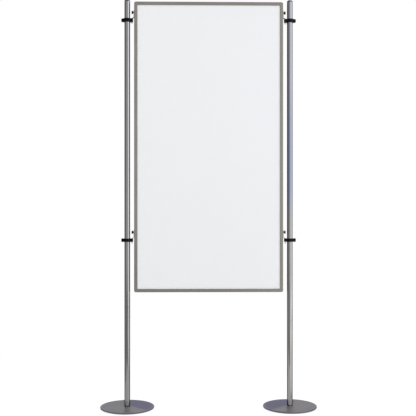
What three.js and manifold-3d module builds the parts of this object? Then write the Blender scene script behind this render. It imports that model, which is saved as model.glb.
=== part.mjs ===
// A free-standing notice board: a framed panel that hangs between two round poles on disc feet.
// Lengths are in millimetres. +X is the board's right as seen from its front, +Y its back, +Z up.
// The origin lies on the floor, midway between the poles.

import * as THREE from 'three';
import { mergeVertices } from 'three/addons/utils/BufferGeometryUtils.js';
import Module from 'manifold-3d';

const wasm = await Module();
wasm.setup();

// Clearances shared by all pieces
const FIXED_FIT = 0.1; // between pieces that are fixed to each other
const SLIDING_FIT = 0.3; // between pieces that slide or hang on each other
const TURNING_FIT = 0.15; // round the shank of a screw
const CUT_OVERRUN = 2; // how far a cut runs past the face that it opens

// Panel: a pale steel-faced sandwich
const PANEL_WIDTH = 608;
const PANEL_HEIGHT = 1200;
const CORE_THICKNESS = 8.8;
const SHEET_THICKNESS = 0.5;
const PANEL_LAP = 5; // how far the panel's edge reaches into the frame
const PANEL_FIT = 0.2; // play of the panel in the frame's inner groove

// Frame rail section
const RAIL_WALL = 3.8; // each cheek beside the panel
const RAIL_WEB = 4.4; // between the panel groove and the outer slot
const RAIL_CHAMFER = 0.8;
const SLOT_MOUTH = 6.6;
const SLOT_UNDERCUT = 2.3; // each side of the mouth
const SLOT_LIP = 1.4;
const SLOT_DEPTH = 2.5; // behind the lips
const FRAME_CORNER = 8; // outer corner radius of the frame
const MITRE_FIT = 0.1;

// Poles
const POLE_DIAMETER = 24;
const POLE_WALL = 1.5;
const POLE_RISE = 2; // of the pole above the frame's top

// Pole cap
const CAP_RIM_HEIGHT = 3.8;
const CAP_DOME_HEIGHT = 4.2;
const CAP_PLUG_LENGTH = 16;

// Disc feet
const PLATE_DIAMETER = 225;
const PLATE_THICKNESS = 6;
const PLATE_CHAMFER = 1.2;
const FLOOR_RING_THICKNESS = 2;
const FLOOR_RING_WIDTH = 12;
const FLOOR_RING_INSET = 6; // from the disc's edge
const FOOT_PLUG_LENGTH = 32;
const BASE_SCREW_DIAMETER = 8;
const BASE_SCREW_HEAD = 16;
const BASE_SCREW_HEAD_HEIGHT = 4;
const BASE_SCREW_RECESS = 0.5; // head below the underside of the disc
const BASE_SCREW_ENGAGEMENT = 20; // length of the screw inside the foot plug

// Pole clamps
const CLAMP_HEIGHT = 14;
const CLAMP_CHAMFER = 0.8;
const CLAMP_FILLET = 2;
const RING_WALL = 4.2;
const ARM_WIDTH = 19;
const ARM_INNER_WALL = 5.9; // between the pole bore and the eye
const ARM_END_WALL = 3.2; // beyond the eye
const BOSS_WIDTH = 14;
const BOSS_THREAD_LENGTH = 3.2;
const PAD_DIAMETER = 8;
const PAD_THICKNESS = 1.5;
const PAD_TRAVEL = 1; // one turn of the clamp screw
const CLAMP_SCREW_DIAMETER = 6;
const CLAMP_SCREW_CHAMFER = 0.5;
const CLAMP_KNOB_DIAMETER = 15.5;
const CLAMP_KNOB_LENGTH = 6;
const CLAMP_KNOB_FLUTE = 1.1;
const CLAMP_KNOB_CHAMFER = 1;
const CLAMP_KNOB_END_WALL = 2; // closed end of the knob beyond the screw

// Hanging brackets on the frame's sides
const BRACKET_THICKNESS = 2;
const BRACKET_WIDTH = 13;
const BRACKET_CLEARANCE = 2.9; // between the clamp's arm and the bracket's flange
const BRACKET_MARGIN = 9; // of the flange above its screw
const BRACKET_CORNER = 3;
const BEND_LENGTH = 1.5; // of each leg taken up by a bend
const TONGUE_TAIL = 8; // of the tongue below the clamp
const SHOULDER_ANGLE = Math.PI / 6;

// Bracket screws and their nuts in the frame's slot
const STUD_RISE = 33; // of the screw above the clamp's middle
const STUD_DIAMETER = 5;
const STUD_COLLAR_DIAMETER = 8;
const STUD_COLLAR_LENGTH = 1.4;
const STUD_KNOB_DIAMETER = 14;
const STUD_KNOB_LENGTH = 4.4; // of the knob's ribbed head
const STUD_KNOB_RIB = 0.5;
const STUD_KNOB_CHAMFER = 0.6;
const STUD_HUB_DIAMETER = 10.4; // where the knob's hub leaves its head
const STUD_HUB_LENGTH = 2.4;
const STUD_KNOB_END_WALL = 1.4; // closed end of the knob beyond the screw
const NUT_LENGTH = 18;
const NUT_TRAVEL = 0.4; // free play behind the lips once the screw is loose
const KEY_CLEARANCE = 5; // between a corner key and the nearest nut
const KEY_SETBACK = 0.4; // of a corner key's cut corner inside the frame's rounded one

// Heights
const BOARD_BOTTOM = 486; // underside of the frame above the floor
const UPPER_CLAMP_DROP = 77; // of the upper clamps below the frame's top
const LOWER_CLAMP_RISE = 218; // of the lower clamps above the frame's underside

// Numbers of facets, lobes and steps
const POLE_SIDES = 36;
const PLATE_SIDES = 60;
const SCREW_SIDES = 16;
const CORNER_STEPS = 3;
const BEND_STEPS = 3;
const DOME_STEPS = 6;
const CLAMP_KNOB_LOBES = 6;
const STUD_KNOB_LOBES = 10;
const POINTS_PER_LOBE = 4;

// Sizes and places that follow from the ones above
const panelThickness = CORE_THICKNESS + 2 * SHEET_THICKNESS + 2 * FIXED_FIT;
const panelGrooveWidth = panelThickness + 2 * PANEL_FIT;
const railDepth = panelGrooveWidth + 2 * RAIL_WALL;
const webInner = SLOT_LIP + SLOT_DEPTH + RAIL_WEB;
const railFace = webInner + PANEL_FIT + PANEL_LAP;
const slotWidth = SLOT_MOUTH + 2 * SLOT_UNDERCUT;
const boardWidth = PANEL_WIDTH + 2 * (railFace - PANEL_LAP);
const boardHeight = PANEL_HEIGHT + 2 * (railFace - PANEL_LAP);
const boardTop = BOARD_BOTTOM + boardHeight;
const boardMiddle = BOARD_BOTTOM + boardHeight / 2;

const poleRadius = POLE_DIAMETER / 2;
const poleInnerRadius = poleRadius - POLE_WALL;
const poleTop = boardTop + POLE_RISE;
const plateTop = FLOOR_RING_THICKNESS + PLATE_THICKNESS;
const poleBottom = plateTop + FIXED_FIT;

const boreRadius = poleRadius + SLIDING_FIT;
const ringRadius = boreRadius + RING_WALL;
const eyeInner = boreRadius + ARM_INNER_WALL;
const eyeOuter = eyeInner + BRACKET_THICKNESS + 2 * SLIDING_FIT;
const armEnd = eyeOuter + ARM_END_WALL;
const flangeInner = armEnd + BRACKET_CLEARANCE;
const frameSide = flangeInner + BRACKET_THICKNESS + FIXED_FIT;
const poleX = boardWidth / 2 + frameSide;

const padNear = poleRadius + TURNING_FIT;
const padFar = padNear + PAD_THICKNESS;
const padRoomEnd = padFar + PAD_TRAVEL + SLIDING_FIT;
const bossEnd = padRoomEnd + BOSS_THREAD_LENGTH;
const clampKnobNear = bossEnd + SLIDING_FIT;

const studBearing = flangeInner - FIXED_FIT;
const studCollarEnd = studBearing - STUD_COLLAR_LENGTH;
const studHubEnd = studCollarEnd - FIXED_FIT;
const studHeadStart = studHubEnd - STUD_HUB_LENGTH;
const studHeadEnd = studHeadStart - STUD_KNOB_LENGTH;
const studTip = frameSide + SLOT_LIP + SLOT_DEPTH - SLIDING_FIT;

const clampTop = CLAMP_HEIGHT / 2;
const upperClampZ = boardTop - UPPER_CLAMP_DROP;
const lowerClampZ = BOARD_BOTTOM + LOWER_CLAMP_RISE;
const keyLeg = UPPER_CLAMP_DROP - STUD_RISE - NUT_LENGTH / 2 - KEY_CLEARANCE;

// Finishes
const polishedSteel = { color: 0x9a999b, roughness: 0.25, metalness: 0.95 };
const plateSteel = { color: 0x77747b, roughness: 0.4, metalness: 0.85 };
const anodised = { color: 0x93908b, roughness: 0.45, metalness: 0.8 };
const zincSteel = { color: 0xb5b3b0, roughness: 0.4, metalness: 0.85 };
const darkPlate = { color: 0x5d5a60, roughness: 0.45, metalness: 0.8 };
const blackPlastic = { color: 0x141415, roughness: 0.45, metalness: 0 };
const greyRubber = { color: 0x2d2d2f, roughness: 0.9, metalness: 0 };
const paleLacquer = { color: 0xeeeff1, roughness: 0.5, metalness: 0 };
const boardCore = { color: 0xb9a98d, roughness: 0.9, metalness: 0 };

// Points on an arc, both ends included
function arc(centreX, centreY, radius, start, end, steps) {
  return Array.from({ length: steps + 1 }, (_, i) => {
    const angle = start + ((end - start) * i) / steps;
    return new THREE.Vector2(centreX + radius * Math.cos(angle), centreY + radius * Math.sin(angle));
  });
}

// A rectangle about the origin with rounded corners
function roundedRectangle(width, height, radius) {
  const x = width / 2 - radius;
  const y = height / 2 - radius;
  const quarter = Math.PI / 2;
  return [
    ...arc(x, y, radius, 0, quarter, CORNER_STEPS),
    ...arc(-x, y, radius, quarter, 2 * quarter, CORNER_STEPS),
    ...arc(-x, -y, radius, 2 * quarter, 3 * quarter, CORNER_STEPS),
    ...arc(x, -y, radius, 3 * quarter, 4 * quarter, CORNER_STEPS),
  ];
}

// The radius of a facetted hole's corners, so that its flats clear the radius given
function holeCorners(radius, sides) {
  return radius / Math.cos(Math.PI / sides);
}

// A turned piece about Z, from [radius, height] pairs that run upwards on its outside
function turned(profile, sides) {
  const points = profile.map(([radius, height]) => new THREE.Vector2(radius, height));
  return new THREE.LatheGeometry(points, sides).rotateX(Math.PI / 2);
}

// A turned rod with chamfered ends
function rod(radius, low, high, chamfer, sides) {
  const profile = [
    [0, low],
    [radius - chamfer, low],
    [radius, low + chamfer],
    [radius, high - chamfer],
    [radius - chamfer, high],
    [0, high],
  ];
  return turned(profile, sides);
}

// An outline in the XZ plane given its depth along Y, about Y = 0
function acrossBoard(points, depth) {
  const geometry = new THREE.ExtrudeGeometry(new THREE.Shape(points), { depth, bevelEnabled: false });
  return geometry.rotateX(Math.PI / 2).translate(0, depth / 2, 0);
}

// An outline in the YZ plane given its length along X, starting at X = start
function alongX(points, start, length) {
  const options = { depth: length, bevelEnabled: false };
  const geometry = new THREE.ExtrudeGeometry(new THREE.Shape(points), options);
  return geometry.rotateX(Math.PI / 2).rotateZ(Math.PI / 2).translate(start, 0, 0);
}

// An outline in the XY plane given its height along Z, with chamfered rims inside that height
function chamferedBlock(points, holes, low, high, chamfer) {
  const shape = new THREE.Shape(points);
  shape.holes = holes.map((hole) => new THREE.Path(hole));
  const geometry = new THREE.ExtrudeGeometry(shape, {
    depth: high - low - 2 * chamfer,
    bevelThickness: chamfer,
    bevelSize: chamfer,
    bevelOffset: -chamfer,
    bevelSegments: 1,
  });
  return geometry.translate(0, 0, low + chamfer);
}

// Turned and lobed pieces are made about Z, then laid towards the board or away from it
function towardsBoard(geometry) {
  return geometry.rotateY(Math.PI / 2);
}

function awayFromBoard(geometry) {
  return geometry.rotateY(-Math.PI / 2);
}

// A closed geometry as a solid that can be joined and cut
function solid(geometry) {
  const bare = geometry.clone();
  bare.deleteAttribute('normal');
  bare.deleteAttribute('uv');
  const merged = mergeVertices(bare);
  const mesh = new wasm.Mesh({
    numProp: 3,
    vertProperties: new Float32Array(merged.attributes.position.array),
    triVerts: new Uint32Array(merged.index.array),
  });
  return new wasm.Manifold(mesh);
}

// A solid as a geometry again
function surface(body) {
  const { vertProperties, triVerts } = body.getMesh();
  const geometry = new THREE.BufferGeometry();
  geometry.setAttribute('position', new THREE.BufferAttribute(vertProperties, 3));
  geometry.setIndex(new THREE.BufferAttribute(triVerts, 1));
  return geometry;
}

function piece(name, geometry, finish) {
  const mesh = new THREE.Mesh(geometry, new THREE.MeshStandardMaterial(finish));
  mesh.name = name;
  return mesh;
}

// Disc with a countersunk hole in its middle
function basePlate() {
  const low = FLOOR_RING_THICKNESS;
  const holeRadius = holeCorners(BASE_SCREW_DIAMETER / 2 + TURNING_FIT, PLATE_SIDES);
  const sinkRadius = BASE_SCREW_HEAD / 2 + SLIDING_FIT;
  const sinkTop = low + BASE_SCREW_RECESS + BASE_SCREW_HEAD_HEIGHT;
  const radius = PLATE_DIAMETER / 2;
  const profile = [
    [holeRadius, sinkTop],
    [sinkRadius, low + BASE_SCREW_RECESS],
    [sinkRadius, low],
    [radius - PLATE_CHAMFER, low],
    [radius, low + PLATE_CHAMFER],
    [radius, plateTop - PLATE_CHAMFER],
    [radius - PLATE_CHAMFER, plateTop],
    [holeRadius, plateTop],
    [holeRadius, sinkTop],
  ];
  return turned(profile, PLATE_SIDES);
}

// Soft ring glued under the disc
function floorRing() {
  const outer = PLATE_DIAMETER / 2 - FLOOR_RING_INSET;
  const inner = outer - FLOOR_RING_WIDTH;
  const high = FLOOR_RING_THICKNESS - FIXED_FIT;
  const profile = [
    [inner, 0],
    [outer, 0],
    [outer, high],
    [inner, high],
    [inner, 0],
  ];
  return turned(profile, POLE_SIDES);
}

// Countersunk screw that draws the pole down on the disc
function baseScrew() {
  const radius = BASE_SCREW_DIAMETER / 2;
  const headRadius = BASE_SCREW_HEAD / 2;
  const low = FLOOR_RING_THICKNESS + BASE_SCREW_RECESS;
  const profile = [
    [0, low],
    [headRadius, low],
    [radius, low + BASE_SCREW_HEAD_HEIGHT],
    [radius, poleBottom + BASE_SCREW_ENGAGEMENT],
    [0, poleBottom + BASE_SCREW_ENGAGEMENT],
  ];
  return turned(profile, SCREW_SIDES);
}

// Tapped slug fixed in the foot of the pole
function footPlug() {
  const inner = holeCorners(BASE_SCREW_DIAMETER / 2 + TURNING_FIT, SCREW_SIDES);
  const outer = poleInnerRadius - FIXED_FIT;
  const high = poleBottom + FOOT_PLUG_LENGTH;
  const profile = [
    [inner, poleBottom],
    [outer, poleBottom],
    [outer, high],
    [inner, high],
    [inner, poleBottom],
  ];
  return turned(profile, SCREW_SIDES);
}

function poleTube() {
  const inner = holeCorners(poleInnerRadius, POLE_SIDES);
  const profile = [
    [inner, poleBottom],
    [poleRadius, poleBottom],
    [poleRadius, poleTop],
    [inner, poleTop],
    [inner, poleBottom],
  ];
  return turned(profile, POLE_SIDES);
}

// Moulded cap with a low dome on a rim as wide as the tube, and a plug down inside the tube
function poleCap() {
  const plugRadius = poleInnerRadius - FIXED_FIT;
  const seat = poleTop + FIXED_FIT;
  const domeFoot = seat + CAP_RIM_HEIGHT;
  const dome = arc(0, 0, 1, 0, Math.PI / 2, DOME_STEPS).slice(0, -1);
  const profile = [
    [0, seat - CAP_PLUG_LENGTH],
    [plugRadius, seat - CAP_PLUG_LENGTH],
    [plugRadius, seat],
    [poleRadius, seat],
    ...dome.map(({ x, y }) => [poleRadius * x, domeFoot + CAP_DOME_HEIGHT * y]),
    [0, domeFoot + CAP_DOME_HEIGHT],
  ];
  return turned(profile, POLE_SIDES);
}

// Moulded ring on the pole, with a boss for the screw and an arm with an eye for the bracket
function clampBody() {
  const arm = ARM_WIDTH / 2;
  const boss = BOSS_WIDTH / 2;
  const armAngle = Math.asin(arm / ringRadius);
  const bossAngle = Math.PI - Math.asin(boss / ringRadius);
  const quarter = Math.PI / 2;
  const armX = armEnd - CLAMP_FILLET;
  const bossX = CLAMP_FILLET - bossEnd;
  const ringSteps = POLE_SIDES / 3;
  const outline = [
    ...arc(armX, CLAMP_FILLET - arm, CLAMP_FILLET, -quarter, 0, CORNER_STEPS),
    ...arc(armX, arm - CLAMP_FILLET, CLAMP_FILLET, 0, quarter, CORNER_STEPS),
    ...arc(0, 0, ringRadius, armAngle, bossAngle, ringSteps),
    ...arc(bossX, boss - CLAMP_FILLET, CLAMP_FILLET, quarter, 2 * quarter, CORNER_STEPS),
    ...arc(bossX, CLAMP_FILLET - boss, CLAMP_FILLET, 2 * quarter, 3 * quarter, CORNER_STEPS),
    ...arc(0, 0, ringRadius, -bossAngle, -armAngle, ringSteps),
  ];
  const bore = arc(0, 0, holeCorners(boreRadius, POLE_SIDES), 0, 2 * Math.PI, POLE_SIDES).slice(0, -1);
  const eyeHalf = BRACKET_WIDTH / 2 + SLIDING_FIT;
  const eye = [
    new THREE.Vector2(eyeInner, -eyeHalf),
    new THREE.Vector2(eyeOuter, -eyeHalf),
    new THREE.Vector2(eyeOuter, eyeHalf),
    new THREE.Vector2(eyeInner, eyeHalf),
  ];
  const blank = chamferedBlock(outline, [bore, eye], -clampTop, clampTop, CLAMP_CHAMFER);
  const padRoom = holeCorners(PAD_DIAMETER / 2 + TURNING_FIT, SCREW_SIDES);
  const thread = holeCorners(CLAMP_SCREW_DIAMETER / 2 + TURNING_FIT, SCREW_SIDES);
  const drill = turned(
    [
      [0, boreRadius / 2],
      [padRoom, boreRadius / 2],
      [padRoom, padRoomEnd],
      [thread, padRoomEnd],
      [thread, bossEnd + CUT_OVERRUN],
      [0, bossEnd + CUT_OVERRUN],
    ],
    SCREW_SIDES,
  );
  return surface(solid(blank).subtract(solid(awayFromBoard(drill))));
}

// Pad at the screw's tip, which presses on the pole
function clampPad() {
  const pad = rod(PAD_DIAMETER / 2, padNear, padFar, TURNING_FIT, SCREW_SIDES);
  return awayFromBoard(pad);
}

function clampScrew() {
  const low = padFar + FIXED_FIT;
  const high = clampKnobNear + CLAMP_KNOB_LENGTH - CLAMP_KNOB_END_WALL - FIXED_FIT;
  return awayFromBoard(rod(CLAMP_SCREW_DIAMETER / 2, low, high, CLAMP_SCREW_CHAMFER, SCREW_SIDES));
}

// Lobed head of a knob about Z, with chamfered rims
function lobedHead({ diameter, lobes, flute, chamfer, low, high }) {
  const count = lobes * POINTS_PER_LOBE;
  const outline = Array.from({ length: count }, (_, i) => {
    const angle = (2 * Math.PI * i) / count;
    const radius = diameter / 2 - (flute * (1 - Math.cos(lobes * angle))) / 2;
    return new THREE.Vector2(radius * Math.cos(angle), radius * Math.sin(angle));
  });
  return solid(chamferedBlock(outline, [], low, high, chamfer));
}

// Blind hole in a knob for the screw that it is fixed on
function screwHole(screwDiameter, mouth, end) {
  const radius = holeCorners(screwDiameter / 2 + TURNING_FIT, SCREW_SIDES);
  const profile = [
    [0, mouth - CUT_OVERRUN],
    [radius, mouth - CUT_OVERRUN],
    [radius, end],
    [0, end],
  ];
  return solid(turned(profile, SCREW_SIDES));
}

function clampKnob() {
  const high = clampKnobNear + CLAMP_KNOB_LENGTH;
  const head = lobedHead({
    diameter: CLAMP_KNOB_DIAMETER,
    lobes: CLAMP_KNOB_LOBES,
    flute: CLAMP_KNOB_FLUTE,
    chamfer: CLAMP_KNOB_CHAMFER,
    low: clampKnobNear,
    high,
  });
  const hole = screwHole(CLAMP_SCREW_DIAMETER, clampKnobNear, high - CLAMP_KNOB_END_WALL);
  return awayFromBoard(surface(head.subtract(hole)));
}

// Both faces of a bent strip, from the line along its middle
function stripOutline(middle, thickness) {
  const sides = [[], []];
  middle.forEach((point, i) => {
    const before = middle[Math.max(i - 1, 0)];
    const after = middle[Math.min(i + 1, middle.length - 1)];
    const into = point.clone().sub(before).normalize();
    const out = after.clone().sub(point).normalize();
    const across = into.clone().add(out).normalize();
    const straight = i > 0 ? into : out;
    const reach = thickness / 2 / across.dot(straight);
    sides[0].push(new THREE.Vector2(point.x - across.y * reach, point.y + across.x * reach));
    sides[1].unshift(new THREE.Vector2(point.x + across.y * reach, point.y - across.x * reach));
  });
  return [...sides[0], ...sides[1]];
}

// Bent strip: a flange on the frame's side, a sloping shoulder and a tongue down through the eye
function bracket() {
  const slope = Math.tan(SHOULDER_ANGLE);
  const half = BRACKET_THICKNESS / 2;
  const tongueX = (eyeInner + eyeOuter) / 2;
  const flangeX = flangeInner + half;
  const rim = eyeOuter + CLAMP_CHAMFER - tongueX;
  const lowBend = clampTop + SLIDING_FIT - rim * slope + half / Math.cos(SHOULDER_ANGLE);
  const highBend = lowBend + (flangeX - tongueX) * slope;
  const legX = BEND_LENGTH * Math.cos(SHOULDER_ANGLE);
  const legZ = BEND_LENGTH * Math.sin(SHOULDER_ANGLE);
  const middle = new THREE.Path();
  middle.moveTo(flangeX, STUD_RISE + BRACKET_MARGIN);
  middle.lineTo(flangeX, highBend + BEND_LENGTH);
  middle.quadraticCurveTo(flangeX, highBend, flangeX - legX, highBend - legZ);
  middle.lineTo(tongueX + legX, lowBend + legZ);
  middle.quadraticCurveTo(tongueX, lowBend, tongueX, lowBend - BEND_LENGTH);
  middle.lineTo(tongueX, -clampTop - TONGUE_TAIL);
  const sideView = stripOutline(middle.getPoints(BEND_STEPS), BRACKET_THICKNESS);
  const strip = solid(acrossBoard(sideView, BRACKET_WIDTH));

  const low = -clampTop - TONGUE_TAIL;
  const high = STUD_RISE + BRACKET_MARGIN;
  const frontView = roundedRectangle(BRACKET_WIDTH, high - low, BRACKET_CORNER);
  const start = eyeInner - CUT_OVERRUN;
  const length = frameSide + CUT_OVERRUN - start;
  const outline = alongX(frontView, start, length).translate(0, 0, (low + high) / 2);

  const holeRadius = holeCorners(STUD_DIAMETER / 2 + TURNING_FIT, SCREW_SIDES);
  const drill = rod(holeRadius, flangeInner - CUT_OVERRUN, frameSide + CUT_OVERRUN, FIXED_FIT, SCREW_SIDES);
  const hole = towardsBoard(drill).translate(0, 0, STUD_RISE);
  return surface(strip.intersect(solid(outline)).subtract(solid(hole)));
}

// Screw with a collar that bears on the bracket's flange, made along X towards the board
function bracketScrew() {
  const outerEnd = studHeadEnd + STUD_KNOB_END_WALL + FIXED_FIT;
  const shank = STUD_DIAMETER / 2;
  const collar = STUD_COLLAR_DIAMETER / 2;
  const profile = [
    [0, outerEnd],
    [shank, outerEnd],
    [shank, studCollarEnd],
    [collar, studCollarEnd],
    [collar, studBearing],
    [shank, studBearing],
    [shank, studTip],
    [0, studTip],
  ];
  return towardsBoard(turned(profile, SCREW_SIDES)).translate(0, 0, STUD_RISE);
}

// Ribbed head with a hub that narrows to the screw's collar, made about Z from the collar upwards
function bracketKnob() {
  const head = lobedHead({
    diameter: STUD_KNOB_DIAMETER,
    lobes: STUD_KNOB_LOBES,
    flute: STUD_KNOB_RIB,
    chamfer: STUD_KNOB_CHAMFER,
    low: -studHeadStart,
    high: -studHeadEnd,
  });
  const hub = turned(
    [
      [0, -studHubEnd],
      [STUD_COLLAR_DIAMETER / 2, -studHubEnd],
      [STUD_HUB_DIAMETER / 2, -studHeadStart],
      [STUD_HUB_DIAMETER / 2, STUD_KNOB_CHAMFER - studHeadStart],
      [0, STUD_KNOB_CHAMFER - studHeadStart],
    ],
    SCREW_SIDES,
  );
  const hole = screwHole(STUD_DIAMETER, -studHubEnd, -studHeadEnd - STUD_KNOB_END_WALL);
  const knob = surface(head.add(solid(hub)).subtract(hole));
  return awayFromBoard(knob).translate(0, 0, STUD_RISE);
}

// T-shaped nut held behind the lips of the frame's outer slot
function slotNut() {
  const neck = SLOT_MOUTH / 2 - SLIDING_FIT;
  const body = slotWidth / 2 - SLIDING_FIT;
  const neckStart = frameSide + SLIDING_FIT;
  const bodyStart = frameSide + SLOT_LIP + FIXED_FIT;
  const bodyEnd = frameSide + SLOT_LIP + SLOT_DEPTH - FIXED_FIT - NUT_TRAVEL;
  const section = [
    new THREE.Vector2(neckStart, -neck),
    new THREE.Vector2(bodyStart, -neck),
    new THREE.Vector2(bodyStart, -body),
    new THREE.Vector2(bodyEnd, -body),
    new THREE.Vector2(bodyEnd, body),
    new THREE.Vector2(bodyStart, body),
    new THREE.Vector2(bodyStart, neck),
    new THREE.Vector2(neckStart, neck),
  ];
  const options = { depth: NUT_LENGTH, bevelEnabled: false };
  const blank = new THREE.ExtrudeGeometry(new THREE.Shape(section), options);
  const holeRadius = holeCorners(STUD_DIAMETER / 2 + TURNING_FIT, SCREW_SIDES);
  const drill = rod(holeRadius, neckStart - CUT_OVERRUN, bodyEnd + CUT_OVERRUN, FIXED_FIT, SCREW_SIDES);
  const nut = solid(blank.translate(0, 0, STUD_RISE - NUT_LENGTH / 2));
  return surface(nut.subtract(solid(towardsBoard(drill).translate(0, 0, STUD_RISE))));
}

// Half of the rail's section, as [distance from the outer face, distance from the middle plane]
function railHalfSection() {
  return [
    [webInner, 0],
    [webInner, panelGrooveWidth / 2],
    [railFace, panelGrooveWidth / 2],
    [railFace, railDepth / 2 - RAIL_CHAMFER],
    [railFace - RAIL_CHAMFER, railDepth / 2],
    [RAIL_CHAMFER, railDepth / 2],
    [0, railDepth / 2 - RAIL_CHAMFER],
    [0, SLOT_MOUTH / 2],
    [SLOT_LIP, SLOT_MOUTH / 2],
    [SLOT_LIP, slotWidth / 2],
    [SLOT_LIP + SLOT_DEPTH, slotWidth / 2],
    [SLOT_LIP + SLOT_DEPTH, 0],
  ];
}

// Grooved rail along X with its outer face at Z = 0, mitred and rounded at its ends
function rail(length) {
  const half = railHalfSection();
  const mirrored = half.slice(1, -1).map(([inward, across]) => [inward, -across]).reverse();
  const section = [...half, ...mirrored].map(([inward, across]) => new THREE.Vector2(across, inward));
  const bar = alongX(section, -length / 2, length);
  const end = length / 2 - MITRE_FIT;
  const corner = FRAME_CORNER;
  const eighth = Math.PI / 4;
  const outline = [
    ...arc(end - corner, corner, corner, -2 * eighth, -eighth, CORNER_STEPS),
    new THREE.Vector2(end - railFace, railFace),
    new THREE.Vector2(railFace - end, railFace),
    ...arc(corner - end, corner, corner, -3 * eighth, -2 * eighth, CORNER_STEPS),
  ];
  const mitred = acrossBoard(outline, railDepth + 2 * CUT_OVERRUN);
  return surface(solid(bar).intersect(solid(mitred)));
}

// L-shaped key in the slots of two rails, with the frame's outer corner at its origin
function cornerKey() {
  const near = SLOT_LIP + FIXED_FIT;
  const far = SLOT_LIP + SLOT_DEPTH - FIXED_FIT;
  const roundingDepth = FRAME_CORNER * (1 - Math.SQRT1_2);
  const cut = 2 * (roundingDepth + KEY_SETBACK) - near;
  const outline = [
    new THREE.Vector2(cut, near),
    new THREE.Vector2(keyLeg, near),
    new THREE.Vector2(keyLeg, far),
    new THREE.Vector2(far, far),
    new THREE.Vector2(far, keyLeg),
    new THREE.Vector2(near, keyLeg),
    new THREE.Vector2(near, cut),
  ];
  return acrossBoard(outline, slotWidth - 2 * SLIDING_FIT);
}

function panelLayer(thickness) {
  return new THREE.BoxGeometry(PANEL_WIDTH, thickness, PANEL_HEIGHT);
}

// One pole on its disc foot
function stand(side) {
  const group = new THREE.Group();
  group.add(piece(`${side}_base_plate`, basePlate(), plateSteel));
  group.add(piece(`${side}_floor_ring`, floorRing(), greyRubber));
  group.add(piece(`${side}_base_screw`, baseScrew(), zincSteel));
  group.add(piece(`${side}_foot_plug`, footPlug(), zincSteel));
  group.add(piece(`${side}_pole`, poleTube(), polishedSteel));
  group.add(piece(`${side}_pole_cap`, poleCap(), blackPlastic));
  return group;
}

// One clamp with the bracket that hangs in it, about the pole's axis, with the board towards +X
function hanger(place) {
  const group = new THREE.Group();
  group.add(piece(`${place}_clamp_body`, clampBody(), blackPlastic));
  group.add(piece(`${place}_clamp_pad`, clampPad(), greyRubber));
  group.add(piece(`${place}_clamp_screw`, clampScrew(), zincSteel));
  group.add(piece(`${place}_clamp_knob`, clampKnob(), blackPlastic));
  group.add(piece(`${place}_bracket`, bracket(), darkPlate));
  group.add(piece(`${place}_bracket_screw`, bracketScrew(), zincSteel));
  group.add(piece(`${place}_bracket_knob`, bracketKnob(), blackPlastic));
  group.add(piece(`${place}_slot_nut`, slotNut(), zincSteel));
  return group;
}

// Rails and corner keys, each placed by a turn about the board's middle
function frame() {
  const group = new THREE.Group();
  const quarter = Math.PI / 2;
  const sides = [
    { name: 'bottom', turn: 0, length: boardWidth, away: boardHeight / 2 },
    { name: 'right', turn: -quarter, length: boardHeight, away: boardWidth / 2 },
    { name: 'top', turn: 2 * quarter, length: boardWidth, away: boardHeight / 2 },
    { name: 'left', turn: quarter, length: boardHeight, away: boardWidth / 2 },
  ];
  for (const { name, turn, length, away } of sides) {
    const mesh = piece(`${name}_rail`, rail(length), anodised);
    mesh.rotation.y = turn;
    mesh.position.set(-away * Math.sin(turn), 0, -away * Math.cos(turn));
    group.add(mesh);
  }
  const corners = [
    { name: 'bottom_left', turn: 0, x: -1, z: -1 },
    { name: 'bottom_right', turn: -quarter, x: 1, z: -1 },
    { name: 'top_right', turn: 2 * quarter, x: 1, z: 1 },
    { name: 'top_left', turn: quarter, x: -1, z: 1 },
  ];
  for (const { name, turn, x, z } of corners) {
    const mesh = piece(`${name}_corner_key`, cornerKey(), zincSteel);
    mesh.rotation.y = turn;
    mesh.position.set((x * boardWidth) / 2, 0, (z * boardHeight) / 2);
    group.add(mesh);
  }
  return group;
}

function panel() {
  const group = new THREE.Group();
  const sheetY = CORE_THICKNESS / 2 + FIXED_FIT + SHEET_THICKNESS / 2;
  const front = piece('front_sheet', panelLayer(SHEET_THICKNESS), paleLacquer);
  const core = piece('panel_core', panelLayer(CORE_THICKNESS), boardCore);
  const back = piece('back_sheet', panelLayer(SHEET_THICKNESS), paleLacquer);
  front.position.y = -sheetY;
  back.position.y = sheetY;
  group.add(front, core, back);
  return group;
}

const noticeBoard = new THREE.Group();

for (const { side, x, turn } of [
  { side: 'left', x: -poleX, turn: 0 },
  { side: 'right', x: poleX, turn: Math.PI },
]) {
  const pole = stand(side);
  pole.position.x = x;
  noticeBoard.add(pole);
  for (const { level, z } of [
    { level: 'upper', z: upperClampZ },
    { level: 'lower', z: lowerClampZ },
  ]) {
    const hanging = hanger(`${level}_${side}`);
    hanging.position.set(x, 0, z);
    hanging.rotation.z = turn;
    noticeBoard.add(hanging);
  }
}

for (const part of [frame(), panel()]) {
  part.position.z = boardMiddle;
  noticeBoard.add(part);
}

export default noticeBoard;
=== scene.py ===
"""A free-standing notice board, dressed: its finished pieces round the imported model, in metres.

+X is the board's right as seen from its front, +Y its back, +Z up.
"""

import math

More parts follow.
